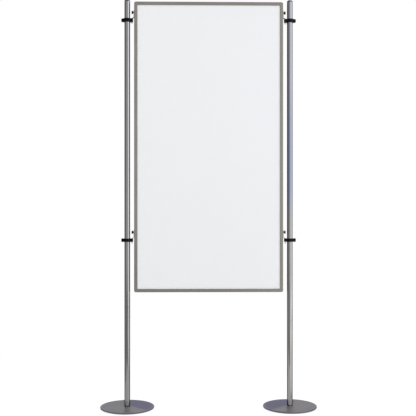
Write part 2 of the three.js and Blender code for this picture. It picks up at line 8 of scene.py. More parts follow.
import bpy
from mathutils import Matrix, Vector


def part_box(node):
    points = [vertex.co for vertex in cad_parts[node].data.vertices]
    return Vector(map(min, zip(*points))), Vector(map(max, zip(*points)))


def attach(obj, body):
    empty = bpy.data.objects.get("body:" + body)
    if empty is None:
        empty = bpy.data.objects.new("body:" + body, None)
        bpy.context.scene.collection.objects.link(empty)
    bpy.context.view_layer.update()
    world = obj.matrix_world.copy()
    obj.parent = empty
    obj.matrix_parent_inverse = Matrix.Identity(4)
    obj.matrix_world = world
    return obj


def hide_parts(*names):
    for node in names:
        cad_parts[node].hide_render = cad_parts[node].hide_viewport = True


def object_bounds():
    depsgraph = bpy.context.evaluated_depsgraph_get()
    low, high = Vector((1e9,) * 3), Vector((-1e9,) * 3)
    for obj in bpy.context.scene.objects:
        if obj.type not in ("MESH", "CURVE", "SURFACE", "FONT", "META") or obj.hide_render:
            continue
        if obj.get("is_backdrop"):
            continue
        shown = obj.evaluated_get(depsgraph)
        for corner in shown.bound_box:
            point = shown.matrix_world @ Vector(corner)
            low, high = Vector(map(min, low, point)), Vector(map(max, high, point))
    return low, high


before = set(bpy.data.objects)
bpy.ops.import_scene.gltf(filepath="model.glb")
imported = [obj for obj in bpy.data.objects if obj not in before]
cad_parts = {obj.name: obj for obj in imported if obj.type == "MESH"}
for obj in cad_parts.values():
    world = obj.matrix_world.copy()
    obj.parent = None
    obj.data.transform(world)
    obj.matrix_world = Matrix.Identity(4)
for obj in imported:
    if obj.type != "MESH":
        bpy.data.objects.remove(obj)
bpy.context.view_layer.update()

MM = 0.001

# Where the pieces stand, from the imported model
POLE_X = 341.5 * MM
BOARD_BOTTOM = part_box("bottom_rail")[0].z
BOARD_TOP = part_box("top_rail")[1].z
BOARD_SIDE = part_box("right_rail")[1].x
POLE_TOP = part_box("left_pole")[1].z
UPPER_CLAMP_Z = sum(v.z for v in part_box("upper_left_clamp_body")) / 2
LOWER_CLAMP_Z = sum(v.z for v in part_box("lower_left_clamp_body")) / 2

# Poles, caps and disc feet
POLE_RADIUS = 12 * MM
POLE_WALL = 1.5 * MM
POLE_FOOT = 8.1 * MM
CAP_SEAT_GAP = 0.1 * MM
CAP_PLUG_RADIUS = 10.4 * MM
CAP_PLUG_LENGTH = 16 * MM
CAP_RIM_HEIGHT = 3.8 * MM
CAP_RIM_ROUND = 0.9 * MM
CAP_DOME_RADIUS = 10.9 * MM
CAP_DOME_HEIGHT = 4.2 * MM
DISC_RADIUS = 112.5 * MM
DISC_UNDERSIDE = 2 * MM
DISC_TOP = 8 * MM
DISC_RIM = 1.5 * MM
# Width of the painted dark reflection round a foot's rim
PAINTED_RIM_BAND = 4 * MM
DISC_HOLE = 4.15 * MM
SINK_RADIUS = 8.3 * MM
SINK_DEPTH = 0.5 * MM
SINK_TOP = 6.5 * MM
RING_INNER = 94.5 * MM
RING_OUTER = 106.5 * MM
RING_TOP = 1.9 * MM
FOOT_SCREW_RADIUS = 4 * MM
FOOT_SCREW_HEAD = 8 * MM
FOOT_SCREW_TOP = 28.1 * MM
SOCKET_RADIUS = 2.9 * MM
SOCKET_DEPTH = 3 * MM

# Clamps, as measured from the pole's axis and the clamp's middle height, with the board towards +X
CLAMP_HALF_HEIGHT = 7 * MM
CLAMP_RING_RADIUS = 16.5 * MM
CLAMP_BORE = 12.3 * MM
ARM_END = 24 * MM
ARM_HALF_WIDTH = 9.5 * MM
BOSS_END = 18.15 * MM
BOSS_HALF_WIDTH = 7 * MM
CLAMP_FILLET = 2 * MM
EYE_NEAR = 18.2 * MM
EYE_FAR = 20.8 * MM
EYE_HALF_WIDTH = 6.8 * MM
PAD_ROOM_RADIUS = 4.15 * MM
PAD_ROOM_END = 14.95 * MM
SCREW_HOLE_RADIUS = 3.15 * MM
CLAMP_KNOB_NEAR = 18.45 * MM
CLAMP_KNOB_LENGTH = 6 * MM
CLAMP_KNOB_RADIUS = 7.75 * MM
CLAMP_KNOB_FLUTE = 1.1 * MM
CLAMP_KNOB_HOLE = 3.15 * MM
CLAMP_KNOB_LOBES = 6

# Brackets and their screws, in the same frame
BRACKET_WIDTH = 13 * MM
BRACKET_THICKNESS = 2 * MM
BRACKET_CORNER = 3 * MM
BRACKET_HOLE = 2.65 * MM
FLANGE_X = 27.9 * MM
FLANGE_TOP = 42 * MM
FLANGE_FOOT = 13.59 * MM
SHOULDER_HIGH = (26.6 * MM, 11.34 * MM)
SHOULDER_LOW = (20.8 * MM, 7.99 * MM)
TONGUE_X = 19.5 * MM
TONGUE_TOP = 5.74 * MM
TONGUE_END = -15 * MM
STUD_RISE = 33 * MM
SHANK_RADIUS = 2.5 * MM
SHANK_START = 20 * MM
SHANK_END = 32.6 * MM
COLLAR_RADIUS = 4 * MM
COLLAR_START = 25.4 * MM
COLLAR_END = 26.8 * MM
STUD_KNOB_NEAR = 22.9 * MM
STUD_KNOB_LENGTH = 4.4 * MM
STUD_KNOB_RADIUS = 7 * MM
STUD_HUB_LENGTH = 2.4 * MM
STUD_HUB_RADIUS = 5.2 * MM
STUD_KNOB_RIB = 0.5 * MM
STUD_KNOB_HOLE = 2.65 * MM
STUD_KNOB_RIBS = 10

# Frame rails
RAIL_DEPTH = 18 * MM
RAIL_FACE = 13.5 * MM
RAIL_CHAMFER = 0.8 * MM
PANEL_GROOVE_FLOOR = 8.3 * MM
PANEL_GROOVE_WIDTH = 10.4 * MM
SLOT_MOUTH = 6.6 * MM
SLOT_WIDTH = 11.2 * MM
SLOT_LIP = 1.4 * MM
SLOT_FLOOR = 3.9 * MM
MITRE_GAP = 0.1 * MM
FRAME_CORNER = 8 * MM
FRAME_CORNER_EASE = 0.005 * MM

# Small roundings, and steps too small to see
OVERRUN = 2 * MM
WELD = 0.002 * MM
HAIR = 0.01 * MM
STEP = 0.001 * MM
ALONG = 0.9
RING_EDGE = 0.35 * MM
SOCKET_EDGE = 0.15 * MM
TUBE_EDGE = 0.25 * MM
CAP_TIP = 0.05 * MM
CLAMP_EDGE = 0.8 * MM
CLAMP_HOLE_EDGE = 0.25 * MM
CLAMP_KNOB_RIM = 1 * MM
CLAMP_KNOB_DIMPLE = 0.5 * MM
STUD_KNOB_RIM = 0.6 * MM
STUD_KNOB_DIMPLE = 0.4 * MM
KNOB_BORE_SHARE = 0.7
DIMPLE_SHARE = 0.6
DIMPLE_FLOOR_SHARE = 0.55
COLLAR_EDGE = 0.3 * MM
BRACKET_EDGE = 0.25 * MM
RAIL_EDGE = 0.15 * MM

# Where the finishes, and the painted reflections on the right pole and on the feet, change over a piece
INWARD_RAMP = (-36 * MM, -6 * MM)
INNER_BACK_RAMP = (0, 32 * MM)
RIGHT_RAMP = (-0.1, 0.1)
COOL_REFLECTION_START = (0.74, 0.95)
COOL_REFLECTION_FADE = (1.05, 1.5)
PALE_REFLECTION_TOP = (0.56, 0.4)
PALE_REFLECTION_FOOT = (0.2, 0.36)

POLE_SIDES = 96
DISC_SIDES = 160
SMALL_SIDES = 40

QUARTER_TURN = math.pi / 2


# Workbench

def only(*pieces):
    """Select these pieces and nothing else, with the first one active."""
    if bpy.context.object and bpy.context.object.mode != "OBJECT":
        bpy.ops.object.mode_set(mode="OBJECT")
    bpy.ops.object.select_all(action="DESELECT")
    for piece in pieces:
        piece.select_set(True)
    bpy.context.view_layer.objects.active = pieces[0]


def started(name):
    piece = bpy.context.object
    piece.name = name
    piece.data.name = name
    only(piece)
    return piece


def pick(piece, kind, test):
    """In edit mode, select the points, edges or faces whose middle and direction pass a test."""
    only(piece)
    bpy.ops.object.mode_set(mode="EDIT")
    bpy.ops.mesh.select_mode(type=kind)
    bpy.ops.mesh.select_all(action="DESELECT")
    bpy.ops.object.mode_set(mode="OBJECT")
    mesh = piece.data
    points = mesh.vertices
    if kind == "VERT":
        for point in points:
            point.select = test(point.co, point.normal)
    if kind == "EDGE":
        for edge in mesh.edges:
            near, far = (points[i].co for i in edge.vertices)
            edge.select = test((near + far) / 2, (far - near).normalized())
    if kind == "FACE":
        for face in mesh.polygons:
            face.select = test(face.center, face.normal)
    bpy.ops.object.mode_set(mode="EDIT")


def done_shaping():
    bpy.ops.object.mode_set(mode="OBJECT")


def settle(piece, turn=(0, 0, 0), place=(0, 0, 0)):
    """Turn a piece, lay it in its place and leave its object at the origin."""
    only(piece)
    piece.rotation_euler = turn
    piece.location = Vector(piece.location) + Vector(place)
    bpy.ops.object.transform_apply(location=True, rotation=True, scale=True)
    return piece


def close_up(piece):
    """Merge doubled points and turn all faces outwards."""
    only(piece)
    bpy.ops.object.mode_set(mode="EDIT")
    bpy.ops.mesh.select_all(action="SELECT")
    bpy.ops.mesh.remove_doubles(threshold=WELD)
    bpy.ops.mesh.normals_make_consistent(inside=False)
    done_shaping()
    return piece


def round_edges(piece, width, steps=2, angle=35):
    only(piece)
    bevel = piece.modifiers.new("rounded edges", "BEVEL")
    bevel.width = width
    bevel.segments = steps
    bevel.limit_method = "ANGLE"
    bevel.angle_limit = math.radians(angle)
    bevel.harden_normals = False
    bpy.ops.object.modifier_apply(modifier=bevel.name)
    return piece


def cut_with(piece, tool, how="DIFFERENCE"):
    """Cut a piece with a tool, or join or trim it, and put the tool away."""
    only(piece)
    cut = piece.modifiers.new("cut", "BOOLEAN")
    cut.operation = how
    cut.solver = "EXACT"
    cut.object = tool
    bpy.ops.object.modifier_apply(modifier=cut.name)
    bpy.data.objects.remove(tool)
    return piece


def smooth(piece, angle=32):
    """Shade a piece smooth between its sharp edges, with its flats left flat."""
    only(piece)
    bpy.ops.object.shade_smooth_by_angle(angle=math.radians(angle))
    level = piece.modifiers.new("flats stay flat", "WEIGHTED_NORMAL")
    level.mode = "FACE_AREA"
    level.weight = 50
    level.keep_sharp = True
    bpy.ops.object.modifier_apply(modifier=level.name)
    return piece


def block(name, low, high):
    """A block between two corners, to be shaped or cut with."""
    low, high = Vector(low), Vector(high)
    bpy.ops.mesh.primitive_cube_add(size=1, location=(low + high) / 2)
    made = started(name)
    made.scale = high - low
    bpy.ops.object.transform_apply(location=True, rotation=True, scale=True)
    return made


def turned(name, rings, sides, hollow=False):
    """A turned piece about Z: a circle drawn on ring by ring, from radii and heights."""
    radius, height = rings[0]
    fill = "NOTHING" if hollow else "NGON"
    bpy.ops.mesh.primitive_circle_add(vertices=sides, radius=radius, fill_type=fill, location=(0, 0, height))
    made = started(name)
    bpy.ops.object.transform_apply(location=True, rotation=True, scale=True)
    bpy.ops.object.mode_set(mode="EDIT")
    bpy.ops.mesh.select_mode(type="EDGE" if hollow else "FACE")
    bpy.ops.mesh.select_all(action="SELECT")
    for next_radius, next_height in rings[1:]:
        rise = next_height - height
        if hollow:
            bpy.ops.mesh.extrude_edges_move(TRANSFORM_OT_translate={"value": (0, 0, rise)})
        else:
            bpy.ops.mesh.extrude_region_move(TRANSFORM_OT_translate={"value": (0, 0, rise)})
        grow = next_radius / radius
        bpy.ops.transform.resize(value=(grow, grow, 1), center_override=(0, 0, next_height))
        radius, height = next_radius, next_height
    done_shaping()
    return close_up(made)


def arc_rings(centre_radius, centre_height, radius, start, end, steps):
    """Rings along an arc in the profile of a turned piece, with angles in degrees from outwards."""
    rings = []
    for step in range(steps + 1):
        angle = math.radians(start + (end - start) * step / steps)
        rings.append((centre_radius + radius * math.cos(angle), centre_height + radius * math.sin(angle)))
    return rings


def lobed(piece, radius, depth, lobes, sides):
    """Draw the flutes of a knob in, one set of points at a time."""
    per_lobe = sides // lobes
    for step in range(1, per_lobe):
        dip = depth * (1 - math.cos(2 * math.pi * step / per_lobe)) / 2

        def on_this_step(point, _):
            turn = math.atan2(point.y, point.x) / (2 * math.pi / sides)
            return math.hypot(point.x, point.y) > radius / 2 and round(turn) % per_lobe == step

        pick(piece, "VERT", on_this_step)
        shrink = (radius - dip) / radius
        bpy.ops.transform.resize(value=(shrink, shrink, 1), center_override=(0, 0, 0))
    done_shaping()
    return piece


def copy_of(piece, name):
    only(piece)
    bpy.ops.object.duplicate(linked=False)
    made = bpy.context.object
    made.name = name
    made.data.name = name
    return made


def finish_piece(piece, body, slot, finish, *nodes):
    """Give a piece its finish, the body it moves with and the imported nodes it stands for."""
    piece.data.materials.clear()
    piece.data.materials.append(finish)
    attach(piece, body)
    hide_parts(*nodes)


# Finishes

def put(tree, kind, **values):
    """Add a node, with its settings and the values of its inputs."""
    made = tree.nodes.new(kind)
    for name, value in values.items():
        if hasattr(made, name):
            setattr(made, name, value)
        else:
            made.inputs[name.replace("_", " ")].default_value = value
    return made


def effect(name, outputs, **values):
    """A node group that takes a place and some named values and gives named masks."""
    tree = bpy.data.node_groups.new(name, "ShaderNodeTree")
    tree.interface.new_socket(name="Vector", in_out="INPUT", socket_type="NodeSocketVector")
    for label, value in values.items():
        socket = tree.interface.new_socket(name=label, in_out="INPUT", socket_type="NodeSocketFloat")
        socket.default_value = value
    for label in outputs:
        tree.interface.new_socket(name=label, in_out="OUTPUT", socket_type="NodeSocketFloat")
    return tree, tree.nodes.new("NodeGroupInput"), tree.nodes.new("NodeGroupOutput")


def drawn_grain():
    """Long fine streaks along Z, as a die leaves them."""
    tree, given, out = effect("drawn grain", ["Streaks", "Hairlines"], Fineness=600.0, Stretch=40.0)
    along = put(tree, "ShaderNodeMath", operation="DIVIDE")
    tree.links.new(given.outputs["Fineness"], along.inputs[0])
    tree.links.new(given.outputs["Stretch"], along.inputs[1])
    scale = put(tree, "ShaderNodeCombineXYZ")
    tree.links.new(given.outputs["Fineness"], scale.inputs["X"])
    tree.links.new(given.outputs["Fineness"], scale.inputs["Y"])
    tree.links.new(along.outputs[0], scale.inputs["Z"])
    drawn = put(tree, "ShaderNodeVectorMath", operation="MULTIPLY")
    tree.links.new(given.outputs["Vector"], drawn.inputs[0])
    tree.links.new(scale.outputs[0], drawn.inputs[1])
    streaks = put(tree, "ShaderNodeTexNoise", Scale=1.0, Detail=3.0, Roughness=0.6)
    hairlines = put(tree, "ShaderNodeTexNoise", Scale=4.0, Detail=2.0, Roughness=0.7)
    for noise, label in ((streaks, "Streaks"), (hairlines, "Hairlines")):
        tree.links.new(drawn.outputs[0], noise.inputs["Vector"])
        tree.links.new(noise.outputs["Fac"], out.inputs[label])
    return tree


def handling_marks():
    """Soft patches where hands and cloths have been."""
    tree, given, out = effect("handling marks", ["Marks"], Patches=14.0, Cover=0.5)
    cloudy = put(tree, "ShaderNodeTexNoise", Detail=5.0, Roughness=0.62, Distortion=0.4)
    tree.links.new(given.outputs["Vector"], cloudy.inputs["Vector"])
    tree.links.new(given.outputs["Patches"], cloudy.inputs["Scale"])
    spread = put(tree, "ShaderNodeMapRange", interpolation_type="SMOOTHSTEP")
    spread.inputs["From Min"].default_value = 0.36
    spread.inputs["From Max"].default_value = 0.68
    tree.links.new(cloudy.outputs["Fac"], spread.inputs["Value"])
    cover = put(tree, "ShaderNodeMath", operation="MULTIPLY")
    tree.links.new(spread.outputs["Result"], cover.inputs[0])
    tree.links.new(given.outputs["Cover"], cover.inputs[1])
    tree.links.new(cover.outputs[0], out.inputs["Marks"])
    return tree


def edge_rub():
    """Where handling has rubbed the edges of a piece."""
    tree, given, out = effect("edge rub", ["Rub"], Reach=0.4 * MM, Breaks=260.0)
    rounded = put(tree, "ShaderNodeBevel", samples=6)
    tree.links.new(given.outputs["Reach"], rounded.inputs["Radius"])
    facing = put(tree, "ShaderNodeNewGeometry")
    match = put(tree, "ShaderNodeVectorMath", operation="DOT_PRODUCT")
    tree.links.new(rounded.outputs["Normal"], match.inputs[0])
    tree.links.new(facing.outputs["Normal"], match.inputs[1])
    edge = put(tree, "ShaderNodeMapRange")
    edge.inputs["From Min"].default_value = 0.995
    edge.inputs["From Max"].default_value = 0.86
    tree.links.new(match.outputs["Value"], edge.inputs["Value"])
    breaks = put(tree, "ShaderNodeTexNoise", Detail=3.0)
    tree.links.new(given.outputs["Vector"], breaks.inputs["Vector"])
    tree.links.new(given.outputs["Breaks"], breaks.inputs["Scale"])
    broken = put(tree, "ShaderNodeMath", operation="MULTIPLY")
    tree.links.new(edge.outputs["Result"], broken.inputs[0])
    tree.links.new(breaks.outputs["Fac"], broken.inputs[1])
    tree.links.new(broken.outputs[0], out.inputs["Rub"])
    return tree


def settled_dust():
    """A thin film on what faces up."""
    tree, given, out = effect("settled dust", ["Dust"], Patches=30.0, Amount=0.3)
    facing = put(tree, "ShaderNodeNewGeometry")
    parts = put(tree, "ShaderNodeSeparateXYZ")
    tree.links.new(facing.outputs["Normal"], parts.inputs[0])
    level = put(tree, "ShaderNodeMapRange", interpolation_type="SMOOTHSTEP")
    level.inputs["From Min"].default_value = 0.55
    level.inputs["From Max"].default_value = 0.98
    tree.links.new(parts.outputs["Z"], level.inputs["Value"])
    film = put(tree, "ShaderNodeTexNoise", Detail=6.0, Roughness=0.7)
    tree.links.new(given.outputs["Vector"], film.inputs["Vector"])
    tree.links.new(given.outputs["Patches"], film.inputs["Scale"])
    lying = put(tree, "ShaderNodeMath", operation="MULTIPLY")
    tree.links.new(level.outputs["Result"], lying.inputs[0])
    tree.links.new(film.outputs["Fac"], lying.inputs[1])
    amount = put(tree, "ShaderNodeMath", operation="MULTIPLY")
    tree.links.new(lying.outputs[0], amount.inputs[0])
    tree.links.new(given.outputs["Amount"], amount.inputs[1])
    tree.links.new(amount.outputs[0], out.inputs["Dust"])
    return tree


def fine_grit():
    """A close even pebbling: orange peel in a lacquer, spark texture in a moulding."""
    tree, given, out = effect("fine grit", ["Pebbles", "Mottle"], Closeness=2200.0)
    pebbles = put(tree, "ShaderNodeTexNoise", Detail=2.0, Roughness=0.55)
    tree.links.new(given.outputs["Vector"], pebbles.inputs["Vector"])
    tree.links.new(given.outputs["Closeness"], pebbles.inputs["Scale"])
    tree.links.new(pebbles.outputs["Fac"], out.inputs["Pebbles"])
    slower = put(tree, "ShaderNodeMath", operation="MULTIPLY")
    slower.inputs[1].default_value = 0.13
    tree.links.new(given.outputs["Closeness"], slower.inputs[0])
    mottle = put(tree, "ShaderNodeTexNoise", Detail=4.0, Roughness=0.6)
    tree.links.new(given.outputs["Vector"], mottle.inputs["Vector"])
    tree.links.new(slower.outputs[0], mottle.inputs["Scale"])
    tree.links.new(mottle.outputs["Fac"], out.inputs["Mottle"])
    return tree


def round_the_pole():
    """Distance from the axis of the nearer pole, and how far a place lies inwards of it and back of it."""
    tree, given, out = effect("round the pole", ["Radius", "Inward", "Inner back"])
    mirrored = put(tree, "ShaderNodeVectorMath", operation="ABSOLUTE")
    tree.links.new(given.outputs["Vector"], mirrored.inputs[0])
    centred = put(tree, "ShaderNodeVectorMath", operation="SUBTRACT")
    centred.inputs[1].default_value = (POLE_X, 0, 0)
    tree.links.new(mirrored.outputs[0], centred.inputs[0])
    flat = put(tree, "ShaderNodeVectorMath", operation="MULTIPLY")
    flat.inputs[1].default_value = (1, 1, 0)
    tree.links.new(centred.outputs[0], flat.inputs[0])
    radius = put(tree, "ShaderNodeVectorMath", operation="LENGTH")
    tree.links.new(flat.outputs[0], radius.inputs[0])
    tree.links.new(radius.outputs["Value"], out.inputs["Radius"])
    across = put(tree, "ShaderNodeSeparateXYZ")
    tree.links.new(centred.outputs[0], across.inputs[0])
    depth = put(tree, "ShaderNodeSeparateXYZ")
    tree.links.new(given.outputs["Vector"], depth.inputs[0])
    inward = put(tree, "ShaderNodeMath", operation="MULTIPLY")
    inward.inputs[1].default_value = -1
    tree.links.new(across.outputs["X"], inward.inputs[0])
    tree.links.new(inward.outputs[0], out.inputs["Inward"])
    inner_back = put(tree, "ShaderNodeMath", operation="ADD")
    tree.links.new(inward.outputs[0], inner_back.inputs[0])
    tree.links.new(depth.outputs["Y"], inner_back.inputs[1])
    tree.links.new(inner_back.outputs[0], out.inputs["Inner back"])
    return tree


AXIS = round_the_pole()
GRAIN = drawn_grain()
MARKS = handling_marks()
RUB = edge_rub()
DUST = settled_dust()
GRIT = fine_grit()


class Finish:
    """A material in the making: one Principled shader and what feeds it."""

    def __init__(self, name, **values):
        self.material = bpy.data.materials.new(name)
        self.material.use_nodes = True
        self.tree = self.material.node_tree
        self.shader = self.tree.nodes["Principled BSDF"]
        for label, value in values.items():
            self.shader.inputs[label.replace("_", " ")].default_value = value
        self.place = put(self.tree, "ShaderNodeTexCoord").outputs["Object"]

    def turned_place(self, turn):
        mapping = put(self.tree, "ShaderNodeMapping", vector_type="POINT")
        mapping.inputs["Rotation"].default_value = turn
        self.tree.links.new(self.place, mapping.inputs["Vector"])
        self.place = mapping.outputs[0]

    def effect(self, group, output, **values):
        made = self.tree.nodes.new("ShaderNodeGroup")
        made.node_tree = group
        self.tree.links.new(self.place, made.inputs["Vector"])
        for label, value in values.items():
            made.inputs[label].default_value = value
        return made.outputs[output]

    def between(self, mask, low, high):
        """A value that runs from low to high with a mask."""
        made = put(self.tree, "ShaderNodeMapRange")
        made.inputs["To Min"].default_value = low
        made.inputs["To Max"].default_value = high
        self.tree.links.new(mask, made.inputs["Value"])
        return made.outputs["Result"]

    def blend(self, mask, first, second, share=1.0):
        """A colour that runs from the first to the second with a mask."""
        made = put(self.tree, "ShaderNodeMix", data_type="RGBA")
        for socket, colour in ((made.inputs[6], first), (made.inputs[7], second)):
            if isinstance(colour, tuple):
                socket.default_value = (*colour, 1)
            else:
                self.tree.links.new(colour, socket)
        if share == 1.0:
            self.tree.links.new(mask, made.inputs[0])
        else:
            self.tree.links.new(self.between(mask, 0, share), made.inputs[0])
        return made.outputs[2]

    def ramp(self, value, low, high):
        """0 below low, 1 above high, and a soft step between."""
        made = put(self.tree, "ShaderNodeMapRange", interpolation_type="SMOOTHSTEP")
        made.inputs["From Min"].default_value = low
        made.inputs["From Max"].default_value = high
        self.tree.links.new(value, made.inputs["Value"])
        return made.outputs["Result"]

    def add(self, first, second):
        made = put(self.tree, "ShaderNodeMath", operation="ADD")
        self.tree.links.new(first, made.inputs[0])
        self.tree.links.new(second, made.inputs[1])
        return made.outputs[0]

    def product(self, first, second):
        made = put(self.tree, "ShaderNodeMath", operation="MULTIPLY")
        self.tree.links.new(first, made.inputs[0])
        self.tree.links.new(second, made.inputs[1])
        return made.outputs[0]

    def colour(self, value):
        self.tree.links.new(value, self.shader.inputs["Base Color"])

    def roughness(self, value):
        self.tree.links.new(value, self.shader.inputs["Roughness"])

    def relief(self, height, depth):
        bump = put(self.tree, "ShaderNodeBump", Strength=1.0, Distance=depth)
        self.tree.links.new(height, bump.inputs["Height"])
        self.tree.links.new(bump.outputs[0], self.shader.inputs["Normal"])


def pole_steel():
    """Bright drawn tube. On the right pole, a cool painted reflection lies round and above its middle, and a
    paler painted reflection lies lower down.
    """
    finish = Finish("bright drawn steel", Metallic=1.0, Specular_Tint=(0.45, 0.45, 0.46, 1))
    streaks = finish.effect(GRAIN, "Streaks", Fineness=500.0, Stretch=80.0)
    hairlines = finish.effect(GRAIN, "Hairlines", Fineness=800.0, Stretch=120.0)
    marks = finish.effect(MARKS, "Marks", Patches=7.0, Cover=0.6)
    base = finish.blend(streaks, (0.114, 0.111, 0.108), (0.13, 0.128, 0.126))
    marked = finish.blend(marks, base, (0.106, 0.101, 0.095), 0.4)
    # Painted reflections on the right pole only: a cool one round and above its middle, a pale one lower down
    across = put(finish.tree, "ShaderNodeSeparateXYZ")
    finish.tree.links.new(finish.place, across.inputs[0])
    right = finish.ramp(across.outputs["X"], *RIGHT_RAMP)
    above = finish.product(right, finish.ramp(across.outputs["Z"], *COOL_REFLECTION_START))
    painted_cool_reflection = finish.product(above, finish.between(finish.ramp(across.outputs["Z"], *COOL_REFLECTION_FADE), 1, 0.3))
    below = finish.product(right, finish.ramp(across.outputs["Z"], *PALE_REFLECTION_TOP))
    pale = finish.product(below, finish.ramp(across.outputs["Z"], *PALE_REFLECTION_FOOT))
    with_cool_reflection = finish.blend(painted_cool_reflection, marked, (0.093, 0.103, 0.1365))
    finish.colour(finish.blend(pale, with_cool_reflection, (0.158, 0.155, 0.152)))
    finish.roughness(finish.add(finish.between(marks, 0.1, 0.14), finish.between(hairlines, 0, 0.04)))
    finish.relief(hairlines, 0.0008 * MM)
    return finish.material


def foot_plate_lacquer():
    """Grey lacquer with a little metal in it, with a painted violet reflection over its inner back part, a
    painted dark reflection at its rim and a painted highlight ring inside that.
    """
    tint = (0.6, 0.6, 0.66, 1)
    finish = Finish("satin foot lacquer", Metallic=0.35, Specular_IOR_Level=0.06, Specular_Tint=tint)
    clouds = finish.effect(MARKS, "Marks", Patches=6.0, Cover=1.0)
    marks = finish.effect(MARKS, "Marks", Patches=40.0, Cover=0.6)
    peel = finish.effect(GRIT, "Pebbles", Closeness=900.0)
    rub = finish.effect(RUB, "Rub", Reach=1.2 * MM, Breaks=120.0)
    dust = finish.effect(DUST, "Dust", Patches=45.0, Amount=0.1)
    radius = finish.effect(AXIS, "Radius")
    # Painted dark reflection at the rim, and a painted highlight ring just inside it
    rim = finish.ramp(radius, DISC_RADIUS - PAINTED_RIM_BAND, DISC_RADIUS - DISC_RIM)
    painted_ring_highlight = finish.ramp(radius, DISC_RADIUS - 3 * PAINTED_RIM_BAND, DISC_RADIUS - 1.5 * PAINTED_RIM_BAND)
    # Painted violet reflection over each foot's inner back part
    inner = finish.ramp(finish.effect(AXIS, "Inward"), *INWARD_RAMP)
    rear = finish.ramp(finish.effect(AXIS, "Inner back"), *INNER_BACK_RAMP)
    painted_violet_reflection = finish.product(inner, rear)
    grey = finish.blend(clouds, (0.218, 0.209, 0.213), (0.184, 0.177, 0.192))
    base = finish.blend(painted_violet_reflection, grey, (0.086, 0.088, 0.17))
    scuffed = finish.blend(marks, base, (0.184, 0.179, 0.2), 0.25)
    ring_highlighted = finish.blend(painted_ring_highlight, scuffed, (0.245, 0.24, 0.26), 0.6)
    with_painted_dark_rim = finish.blend(rim, ring_highlighted, (0.1, 0.096, 0.12), 0.75)
    rubbed = finish.blend(rub, with_painted_dark_rim, (0.045, 0.045, 0.06))
    finish.colour(finish.blend(dust, rubbed, (0.36, 0.35, 0.35)))
    finish.roughness(finish.add(finish.between(marks, 0.32, 0.4), finish.between(dust, 0, 0.3)))
    finish.relief(peel, 0.006 * MM)
    return finish.material


def zinc_plate(name, light, dark, wear):
    """Plated steel, mottled, with duller handled patches and brighter edges by the share of wear."""
    finish = Finish(name, Metallic=1.0)
    mottle = finish.effect(GRIT, "Mottle", Closeness=3200.0)
    marks = finish.effect(MARKS, "Marks", Patches=120.0, Cover=0.6)
    rub = finish.effect(RUB, "Rub", Reach=0.3 * MM, Breaks=500.0)
    base = finish.blend(mottle, dark, light)
    worn = finish.blend(marks, base, tuple(shade * 0.6 for shade in dark), 0.45)
    finish.colour(finish.blend(rub, worn, (0.6, 0.6, 0.6), wear))
    finish.roughness(finish.add(finish.between(mottle, 0.28, 0.42), finish.between(marks, 0, 0.15)))
    finish.relief(mottle, 0.01 * MM)
    return finish.material


def black_plastic(name, shine, smoothest):
    """Moulded black with a spark texture, a little rubbed at its edges."""
    finish = Finish(name, Specular_IOR_Level=shine)
    spark = finish.effect(GRIT, "Pebbles", Closeness=3800.0)
    mottle = finish.effect(GRIT, "Mottle", Closeness=1500.0)
    rub = finish.effect(RUB, "Rub", Reach=0.5 * MM, Breaks=420.0)
    dust = finish.effect(DUST, "Dust", Patches=300.0, Amount=0.015)
    base = finish.blend(mottle, (0.001, 0.001, 0.0011), (0.0028, 0.0028, 0.003))
    rubbed = finish.blend(rub, base, (0.012, 0.012, 0.0125))
    finish.colour(finish.blend(dust, rubbed, (0.3, 0.29, 0.28)))
    sheen = finish.between(spark, smoothest, smoothest + 0.16)
    finish.roughness(finish.add(sheen, finish.between(rub, 0, -0.12)))
    finish.relief(spark, 0.03 * MM)
    return finish.material


def rubber(name, light, dark):
    """Matte rubber with a fine grit and greyed patches."""
    finish = Finish(name, Specular_IOR_Level=0.3)
    grit = finish.effect(GRIT, "Pebbles", Closeness=1800.0)
    marks = finish.effect(MARKS, "Marks", Patches=60.0, Cover=0.7)
    base = finish.blend(grit, dark, light)
    finish.colour(finish.blend(marks, base, (0.09, 0.085, 0.08), 0.35))
    finish.roughness(finish.between(grit, 0.7, 0.92))
    finish.relief(grit, 0.05 * MM)
    return finish.material


def anodised(name, turn):
    """Satin anodised aluminium, drawn along the rail when its place is turned to match."""
    finish = Finish(name, Metallic=1.0)
    finish.turned_place(turn)
    streaks = finish.effect(GRAIN, "Streaks", Fineness=900.0, Stretch=70.0)
    hairlines = finish.effect(GRAIN, "Hairlines", Fineness=1200.0, Stretch=60.0)
    marks = finish.effect(MARKS, "Marks", Patches=11.0, Cover=0.7)
    rub = finish.effect(RUB, "Rub", Reach=0.3 * MM, Breaks=300.0)
    base = finish.blend(streaks, (0.116, 0.109, 0.1), (0.138, 0.13, 0.12))
    soiled = finish.blend(marks, base, (0.102, 0.096, 0.087), 0.4)
    finish.colour(finish.blend(rub, soiled, (0.22, 0.212, 0.2), 0.5))
    finish.roughness(finish.add(finish.between(hairlines, 0.28, 0.36), finish.between(marks, 0, 0.06)))
    finish.relief(hairlines, 0.008 * MM)
    return finish.material


def board_lacquer():
    """Pale satin lacquer with a faint peel and barely seen wipe marks."""
    finish = Finish("pale board lacquer", Specular_IOR_Level=0.35, Coat_Weight=0.05, Coat_Roughness=0.3)
    peel = finish.effect(GRIT, "Pebbles", Closeness=700.0)
    mottle = finish.effect(GRIT, "Mottle", Closeness=160.0)
    marks = finish.effect(MARKS, "Marks", Patches=4.0, Cover=0.5)
    base = finish.blend(mottle, (0.845, 0.855, 0.875), (0.86, 0.868, 0.888))
    finish.colour(finish.blend(marks, base, (0.835, 0.842, 0.858), 0.5))
    finish.roughness(finish.add(finish.between(marks, 0.42, 0.5), finish.between(peel, 0, 0.06)))
    finish.relief(peel, 0.02 * MM)
    return finish.material


